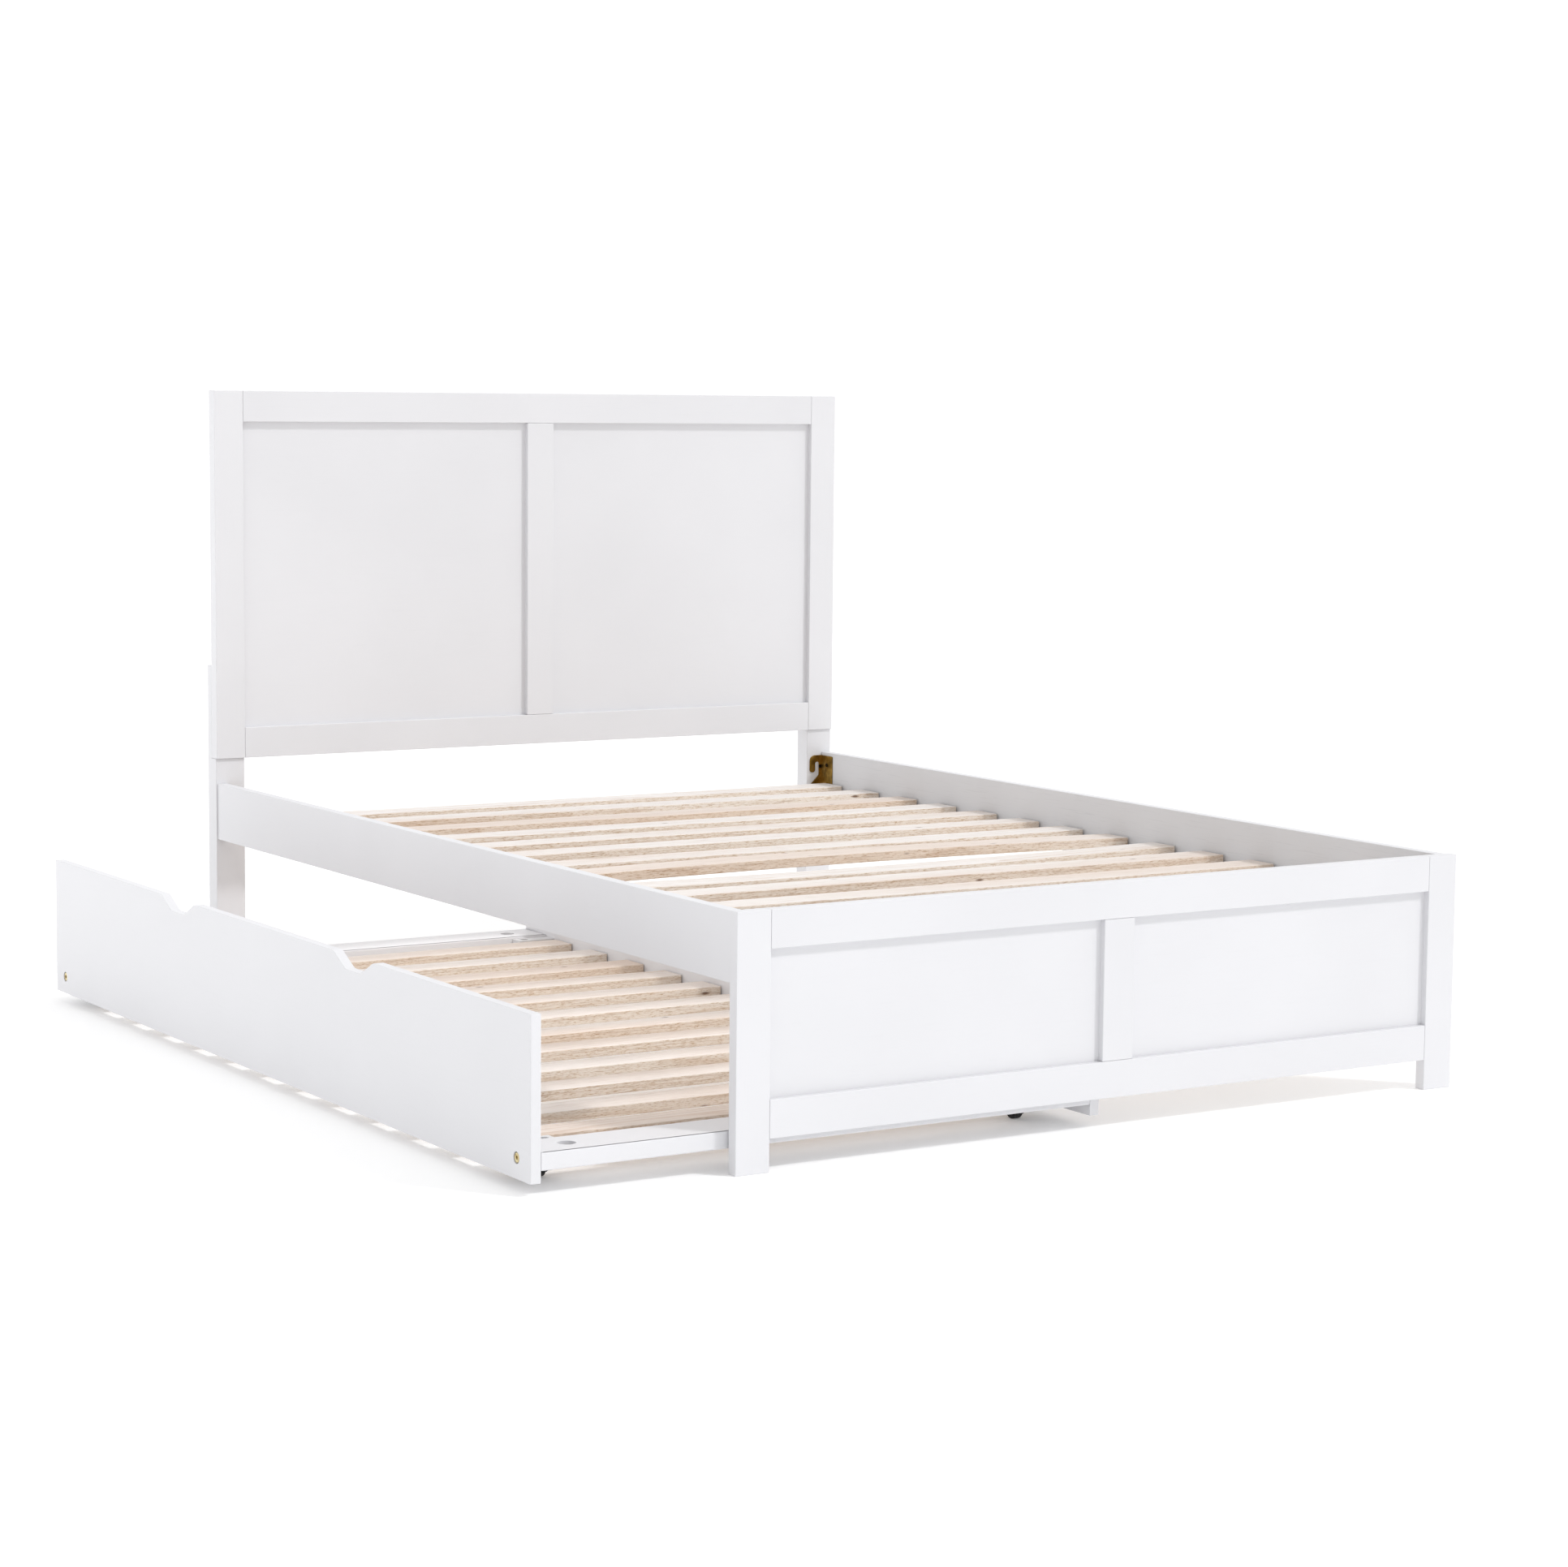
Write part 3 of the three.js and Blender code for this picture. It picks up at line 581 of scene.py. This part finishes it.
def build_hook_plate(side, end):
    """A folded angle plate: a plain leaf on the rail, and a hooked leaf on the post, with two screws each."""
    name = f"{side}_{end}_hook_plate"
    low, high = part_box(name)
    inward = 1 if side == "left" else -1
    along_rail = 1 if end == "foot" else -1
    rail_face = low.x if side == "left" else high.x
    post_face = low.y if end == "foot" else high.y
    rail_leaf = rectangle(sorted((post_face + along_rail * FOLD_RADIUS, high.y if end == "foot" else low.y)),
                          (low.z, high.z), RAIL_LEAF_CORNER)
    leaf_x = sorted((rail_face, rail_face + inward * PLATE_THICKNESS))
    hook = [(high.z - down * MM, rail_face + inward * across * MM) for across, down, _ in HOOK_OUTLINE]
    radii = [radius * MM for _, _, radius in HOOK_OUTLINE]
    leaf_y = sorted((post_face, post_face + along_rail * PLATE_THICKNESS))
    plates = merged([
        placed(solid(rail_leaf, *leaf_x, PLATE_EDGE), "x"),
        placed(solid(fillet_loop(hook, radii, 6), *leaf_y, PLATE_EDGE), "y"),
        placed(solid(rectangle(leaf_x, leaf_y, FOLD_EDGE), low.z, high.z, PLATE_EDGE), "z"),
    ])
    add_piece(f"{name}_steel", plates, PLATED, "bed", "zinc_steel", [name])
    screws = []
    for down in RAIL_SCREWS_DOWN:
        spot = (post_face + along_rail * RAIL_SCREW_REACH, high.z - down)
        screws.append(screw_head(spot, rail_face + inward * PLATE_THICKNESS, inward, "x"))
    for across, down in HOOK_SCREWS:
        spot = (high.z - down, rail_face + inward * across)
        screws.append(screw_head(spot, post_face + along_rail * PLATE_THICKNESS, along_rail, "y"))
    add_piece(f"{name}_screws", merged(screws), BLACKED, "bed", "zinc_steel")


# ---- Trundle ---------------------------------------------------------------------------------

SCOOP_OFFSETS = (-365 * MM, 365 * MM)
SCOOP_HALF_WIDTH = 75 * MM
SCOOP_HALF_FLAT = 28 * MM
SCOOP_DEPTH = 24 * MM
SCOOP_RADIUS = 26 * MM
BOLT_HEIGHT = 52 * MM
BOLT_HEAD_RADIUS = 7.5 * MM
BOLT_HEAD_HEIGHT = 3.5 * MM
BOLT_RADIUS = 3 * MM
BOLT_LENGTH = 77 * MM
COUNTERBORE_RADIUS = 9.3 * MM
COUNTERBORE_DEPTH = 4.5 * MM
SOCKET_RADIUS = 3.2 * MM
SOCKET_DEPTH = 2.4 * MM
NUT_HOLE_INSET = 66 * MM
NUT_HOLE_RADIUS = 14 * MM
NUT_HOLE_DEPTH = 22 * MM
NUT_RADIUS = 5.6 * MM
NUT_THICKNESS = 5 * MM
PLANK_WIDTH = 90 * MM
BLOCK_LENGTH = 78 * MM
BLOCK_WIDTH = 33.4 * MM
BLOCK_TOP = 62 * MM
STEM_INSET = 60 * MM
STEM_POCKET_RADIUS = 9 * MM
STEM_SEAT = 12 * MM


def hexagon(radius, centre):
    """A regular hexagon by its corner radius, with corners hardly broken."""
    angle = np.arange(6) * math.pi / 3
    corners = np.asarray(centre) + radius * np.stack([np.cos(angle), np.sin(angle)], axis=1)
    return fillet_loop(corners, 0.2 * MM, 2)


def plank_span(end):
    """An end plank's extent along the bed, without the corner blocks on its inner side."""
    low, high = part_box(f"trundle_{end}_plank")
    return (low.y, low.y + PLANK_WIDTH) if end == "foot" else (high.y - PLANK_WIDTH, high.y)


def bolt_centres():
    """The connector bolts' places along the bed: the middle of each end plank."""
    return [sum(plank_span(end)) / 2 for end in ("foot", "head")]


def counterbores(at_end):
    """Pockets for the bolts' heads in a board's outer face, at the start or the end of its thickness."""
    return [(circle(COUNTERBORE_RADIUS, (y, BOLT_HEIGHT)), COUNTERBORE_DEPTH, at_end) for y in bolt_centres()]


def build_front_board():
    """The trundle's front board: its outline dips into two hand scoops with rounded shoulders."""
    low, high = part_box("trundle_front_board")
    middle = (low.y + high.y) / 2
    corners, radii = [(low.y, low.z), (high.y, low.z), (high.y, high.z)], [ENAMELLED_EDGE] * 3
    for offset in reversed(SCOOP_OFFSETS):
        centre = middle + offset
        corners += [(centre + SCOOP_HALF_WIDTH, high.z), (centre + SCOOP_HALF_FLAT, high.z - SCOOP_DEPTH),
                    (centre - SCOOP_HALF_FLAT, high.z - SCOOP_DEPTH), (centre - SCOOP_HALF_WIDTH, high.z)]
        radii += [SCOOP_RADIUS] * 4
    corners.append((low.y, high.z))
    radii.append(ENAMELLED_EDGE)
    timber("trundle_front_board_timber", fillet_loop(corners, radii),
           (low.x, low.x + TRUNDLE_BOARD_THICKNESS), "x", ENAMELLED_EDGE, TRUNDLE_ENAMEL,
           ["trundle_front_board"], grain="y", pockets=counterbores(False))


def build_far_board():
    """The trundle's far board, lower and plain."""
    low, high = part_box("trundle_far_board")
    outline = rectangle((low.y, high.y), (low.z, high.z), ENAMELLED_EDGE)
    timber("trundle_far_board_timber", outline, (high.x - TRUNDLE_BOARD_THICKNESS, high.x), "x",
           ENAMELLED_EDGE, TRUNDLE_ENAMEL, ["trundle_far_board"], grain="y", pockets=counterbores(True))


def build_plank(end):
    """An end plank with a round access hole near each end."""
    name = f"trundle_{end}_plank"
    low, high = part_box(name)
    span = plank_span(end)
    holes = [(circle(NUT_HOLE_RADIUS, (x, sum(span) / 2)), NUT_HOLE_DEPTH, True)
             for x in (low.x + NUT_HOLE_INSET, high.x - NUT_HOLE_INSET)]
    timber(f"{name}_timber", rectangle((low.x, high.x), span, ENAMELLED_EDGE), (low.z, high.z), "z",
           PLANK_EDGE, TRUNDLE_ENAMEL, [name], grain="x", pockets=holes)


def build_trundle_inside():
    """Corner blocks that carry the castors beside the end planks, and slat ledgers between the blocks."""
    front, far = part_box("trundle_front_board"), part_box("trundle_far_board")
    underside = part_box("trundle_foot_plank")[0].z
    ends = {"foot": plank_span("foot")[1] + JOINT_GAP,
            "head": plank_span("head")[0] - JOINT_GAP - BLOCK_WIDTH}
    ledger_start, ledger_end = ends["foot"] + BLOCK_WIDTH + JOINT_GAP, ends["head"] - JOINT_GAP
    ledger_bottom = front[0].z
    ledger_top = ledger_bottom + TRUNDLE_LEDGER_HEIGHT
    for side, face, inward in (("front", front[0].x + TRUNDLE_BOARD_THICKNESS, 1),
                               ("far", far[1].x - TRUNDLE_BOARD_THICKNESS, -1)):
        for end, start in ends.items():
            x = sorted((face, face + inward * BLOCK_LENGTH))
            seat = circle(STEM_POCKET_RADIUS, (face + inward * STEM_INSET, start + BLOCK_WIDTH / 2))
            # The blocks under the slats are in the darker enamel: painted shade.
            timber(f"trundle_{end}_{side}_block", rectangle(x, (start, start + BLOCK_WIDTH), ENAMELLED_EDGE),
                   (underside, BLOCK_TOP), "z", ENAMELLED_EDGE, TRUNDLE_PAINTED_SHADE, grain="x",
                   pockets=[(seat, STEM_SEAT, True)])
        # The ledgers under the slats are in the darker enamel: painted shade.
        board(f"trundle_{side}_ledger", (face, ledger_start, ledger_bottom),
              (face + inward * TRUNDLE_LEDGER_WIDTH, ledger_end, ledger_top), "y",
              ENAMELLED_EDGE, TRUNDLE_PAINTED_SHADE)


def build_bolt(end, y, side):
    """A connector bolt in its counterbore, and the nut on its tip in the plank's access hole."""
    front = side == "front"
    low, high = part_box(f"trundle_{side}_board")
    inward = 1 if front else -1
    outer = low.x if front else high.x
    seat = outer + inward * COUNTERBORE_DEPTH
    top = seat - inward * BOLT_HEAD_HEIGHT
    centre = (y, BOLT_HEIGHT)
    socket = [(hexagon(SOCKET_RADIUS, centre), SOCKET_DEPTH, not front)]
    tip = outer + inward * BOLT_LENGTH
    wall = outer + inward * (TRUNDLE_BOARD_THICKNESS + NUT_HOLE_INSET - NUT_HOLE_RADIUS)
    parts = [
        solid(circle(BOLT_HEAD_RADIUS, centre), *sorted((top, seat)), HARDWARE_EDGE, pockets=socket),
        solid(circle(BOLT_RADIUS, centre, 20), *sorted((seat, tip)), HARDWARE_EDGE),
        solid(hexagon(NUT_RADIUS, centre), *sorted((wall, wall + inward * NUT_THICKNESS)), HARDWARE_EDGE),
    ]
    add_piece(f"trundle_{end}_{side}_bolt", merged([placed(part, "x") for part in parts]), BRASSED,
              "trundle", "zinc_steel")


# ---- Castors ---------------------------------------------------------------------------------

WHEEL_RADIUS = 16 * MM
WHEEL_WIDTH = 16 * MM
AXLE_RADIUS = 3 * MM
AXLE_CLEARANCE = 0.3 * MM
CHEEK_THICKNESS = 3 * MM
CHEEK_CLEARANCE = 1 * MM
CASTOR_TRAIL = 18 * MM
DISC_RADIUS = 17 * MM
DISC_TOP = 37.5 * MM
DISC_THICKNESS = 4 * MM
DISC_EDGE = 1 * MM
STEM_RADIUS = 4 * MM
STEM_EDGE = 0.2 * MM
STEM_HEAD_RADIUS = 8 * MM
STEM_HEAD_BOTTOM = 50.5 * MM
STEM_HEAD_TOP = 54.5 * MM
HUB_RADIUS = 6.5 * MM
SIDE_RECESS = 1.6 * MM
RIM_WIDTH = 4 * MM
WHEEL_SLOPE = 1 * MM
WHEEL_FILLETS = (0.3, 0.5, 0.3, 0.5, 0.8, 2.2, 2.2, 0.8, 0.5, 0.3, 0.5, 0.3)
CHEEK_END_RADIUS = 9 * MM
CHEEK_TOP_REACH = 14 * MM
CHEEK_LAP = 1 * MM
CHEEK_FILLETS = (1.0, 6.5, 6.5, 1.0)
AXLE_END_DROP = 0.2 * MM


def castor_wheel(centre):
    """A wheel spun about X from a closed profile: rounded shoulders, recessed sides, hub and bore."""
    half, bore = WHEEL_WIDTH / 2, AXLE_RADIUS + AXLE_CLEARANCE
    floor, rim = half - SIDE_RECESS, WHEEL_RADIUS - RIM_WIDTH
    hub_foot, rim_foot, tread = HUB_RADIUS + WHEEL_SLOPE, rim - WHEEL_SLOPE, half - WHEEL_SLOPE
    side = [(half, bore), (half, HUB_RADIUS), (floor, hub_foot), (floor, rim_foot), (half, rim),
            (tread, WHEEL_RADIUS)]
    profile = [(-along, radius) for along, radius in side] + side[::-1]
    radii = np.array(WHEEL_FILLETS) * MM
    loop, normals = fillet_loop(profile, radii, 4)
    angle = np.linspace(0, 2 * math.pi, 48, endpoint=False)[None, :]
    around = np.stack([np.ones_like(angle), np.cos(angle), np.sin(angle)], axis=-1)
    points = loop[:, None, [0, 1, 1]] * around + np.asarray(centre)
    directions = normals[:, None, [0, 1, 1]] * around
    faces = ring_faces(len(loop), angle.shape[1], closed=True)
    return points.reshape(-1, 3), directions.reshape(-1, 3), faces


def cheek_outline(y, wheel_y):
    """A cheek's outline in (y, z): a leaf from the disc down to a rounded end about the axle."""
    top, bottom = DISC_TOP - DISC_THICKNESS + CHEEK_LAP, WHEEL_RADIUS - CHEEK_END_RADIUS
    corners = [(y - CHEEK_END_RADIUS, top), (wheel_y - CHEEK_END_RADIUS, bottom),
               (wheel_y + CHEEK_END_RADIUS, bottom), (y + CHEEK_TOP_REACH, top)]
    return fillet_loop(corners, np.array(CHEEK_FILLETS) * MM, 8)


def build_castor(name):
    """A swivelling fork with its stem, and the wheel between its cheeks."""
    low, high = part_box(f"castor_{name}_wheel")
    x, wheel_y = (low.x + high.x) / 2, (low.y + high.y) / 2
    y = wheel_y - CASTOR_TRAIL
    disc_bottom = DISC_TOP - DISC_THICKNESS
    cheek = WHEEL_WIDTH / 2 + CHEEK_CLEARANCE
    stem_top = STEM_HEAD_BOTTOM + HARDWARE_EDGE
    parts = [
        placed(solid(circle(DISC_RADIUS, (x, y), 48), disc_bottom, DISC_TOP, DISC_EDGE), "z"),
        placed(solid(circle(STEM_RADIUS, (x, y)), disc_bottom, stem_top, STEM_EDGE), "z"),
        placed(solid(circle(STEM_HEAD_RADIUS, (x, y)), STEM_HEAD_BOTTOM, STEM_HEAD_TOP, DISC_EDGE), "z"),
    ]
    for outward in (-1, 1):
        span = sorted((x + outward * cheek, x + outward * (cheek + CHEEK_THICKNESS)))
        parts.append(placed(solid(cheek_outline(y, wheel_y), *span, HARDWARE_EDGE), "x"))
    add_piece(f"castor_{name}_fork", merged(parts), NYLON, f"{name}_castor", "black_nylon",
              [f"castor_{name}_housing"])
    reach = cheek + CHEEK_THICKNESS - AXLE_END_DROP
    axle = solid(circle(AXLE_RADIUS, (wheel_y, WHEEL_RADIUS), 24), x - reach, x + reach, HARDWARE_EDGE)
    add_piece(f"castor_{name}_axle", placed(axle, "x"), BLACKED, f"{name}_castor", "zinc_steel")
    wheel = castor_wheel((x, wheel_y, WHEEL_RADIUS))
    add_piece(f"castor_{name}_roller", wheel, TREAD, f"{name}_wheel", "black_tread", [f"castor_{name}_wheel"])


# ---- Build -----------------------------------------------------------------------------------

for board_name in ("headboard", "footboard"):
    build_panel_board(board_name)
for side_name in ("left", "right"):
    build_head_leg(side_name)
    build_side_rail(side_name)
    for end_name in ("head", "foot"):
        build_hook_plate(side_name, end_name)
build_slats("bed_slat", "bed")
build_slats("trundle_slat", "trundle")
build_front_board()
build_far_board()
build_trundle_inside()
for end_name, bolt_y in zip(("foot", "head"), bolt_centres()):
    build_plank(end_name)
    for side_name in ("front", "far"):
        build_bolt(end_name, bolt_y, side_name)
        build_castor(f"{end_name}_{side_name}")


# ---- Stage, light and camera -----------------------------------------------------------------

FLOOR_HALF = 60.0
FLOOR_GLOW = 0.15

# Lamps: where each stands and what it looks at, in metres.
KEY_PLACE = (2.3, -2.8, 4.0)
HEAD_FILL = ((-3.0, 2.2, 0.9), (-0.8, 0.8, 0.2))
STRIP = ((-0.9, -0.1, 1.2), (-0.7, -0.1, 0.06))
UNDER_DECK = ((-0.23, 0.1, 0.285), (-0.23, 0.1, 0))

# The camera: its turn, its tilt and its roll in degrees, its place from the foot's middle in metres,
# and its lens on a full-frame sensor in millimetres.
CAMERA_ANGLES = (31.94, 6.235, 0.528)
CAMERA_PLACE = (-3.411, -4.4525, 1.1639)
CAMERA_LENS = 81.06
SENSOR_WIDTH = 36
CAMERA_REACH = 200


def build_stage():
    """A pale floor under everything, lit a little from below as on a light table, so shadows stay pale."""
    mesh = bpy.data.meshes.new("floor")
    corners = [(x * FLOOR_HALF, y * FLOOR_HALF, 0) for x, y in ((-1, -1), (1, -1), (1, 1), (-1, 1))]
    mesh.from_pydata(corners, [], [(0, 1, 2, 3)])
    material, _, shader = new_material("pale_floor")
    shader.inputs["Base Color"].default_value = linear("#FAFAFA")
    shader.inputs["Roughness"].default_value = 0.9
    shader.inputs["Specular IOR Level"].default_value = 0.2
    shader.inputs["Emission Color"].default_value = linear("#FFFFFF")
    shader.inputs["Emission Strength"].default_value = FLOOR_GLOW
    mesh.materials.append(material)
    floor = bpy.data.objects.new("floor", mesh)
    bpy.context.scene.collection.objects.link(floor)


def add_lamp(name, kind, place_at, target, power, settings):
    """A lamp that looks at a point."""
    light = bpy.data.lights.new(name, kind)
    light.energy = power
    for key, value in settings.items():
        setattr(light, key, value)
    lamp = bpy.data.objects.new(name, light)
    lamp.location = place_at
    lamp.rotation_euler = (Vector(target) - Vector(place_at)).to_track_quat("-Z", "Y").to_euler()
    bpy.context.scene.collection.objects.link(lamp)


def build_world():
    """A white surround: full white behind the bed, and a little dimmer on the side towards the viewer."""
    world = bpy.data.worlds.new("studio")
    world.use_nodes = True
    tree = world.node_tree
    away = node(tree, "ShaderNodeVectorMath", {"operation": "DOT_PRODUCT", 1: (0.53, 0.85, 0.0)},
                {0: node(tree, "ShaderNodeTexCoord").outputs["Generated"]})
    strength = node(tree, "ShaderNodeMapRange",
                    {"From Min": -0.3, "From Max": 0.85, "To Min": 0.77, "To Max": 1.06},
                    {"Value": away.outputs["Value"]})
    background = tree.nodes["Background"]
    background.inputs["Color"].default_value = (1.0, 1.0, 1.0, 1.0)
    tree.links.new(strength.outputs["Result"], background.inputs["Strength"])
    bpy.context.scene.world = world


def build_light():
    """A key from high on the right, a fill from the head's left, and two panels over the trundle."""
    build_world()
    add_lamp("key", "SUN", KEY_PLACE, (0, 0, 0), 1.25, {"angle": math.radians(8)})
    add_lamp("head_fill", "AREA", *HEAD_FILL, 9, {"size": 1.2})
    add_lamp("strip", "AREA", *STRIP, 1.3, {"shape": "RECTANGLE", "size": 1.5, "size_y": 0.3})
    add_lamp("under_deck", "AREA", *UNDER_DECK, 1.2, {"shape": "RECTANGLE", "size": 0.6, "size_y": 1.8})


def build_camera():
    """A long lens from the foot's left, at about the headboard's height, looking slightly down."""
    azimuth, pitch, roll = (math.radians(value) for value in CAMERA_ANGLES)
    left_low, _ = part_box("footboard_left_post")
    _, right_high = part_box("footboard_right_post")
    foot = Vector(((left_low.x + right_high.x) / 2, left_low.y, 0))
    level_way = Vector((math.sin(azimuth), math.cos(azimuth), 0))
    forward = level_way * math.cos(pitch) - Vector((0, 0, math.sin(pitch)))
    level = forward.cross(Vector((0, 0, 1))).normalized()
    upright = level.cross(forward)
    right = level * math.cos(roll) + upright * math.sin(roll)
    up = upright * math.cos(roll) - level * math.sin(roll)
    data = bpy.data.cameras.new("camera")
    data.sensor_width = SENSOR_WIDTH
    data.lens = CAMERA_LENS
    data.clip_end = CAMERA_REACH
    camera = bpy.data.objects.new("camera", data)
    turned = Matrix((right, up, -forward)).transposed().to_4x4()
    camera.matrix_world = Matrix.Translation(foot + Vector(CAMERA_PLACE)) @ turned
    bpy.context.scene.collection.objects.link(camera)
    bpy.context.scene.camera = camera


build_stage()
build_light()
build_camera()
bpy.context.scene.view_settings.view_transform = "Standard"
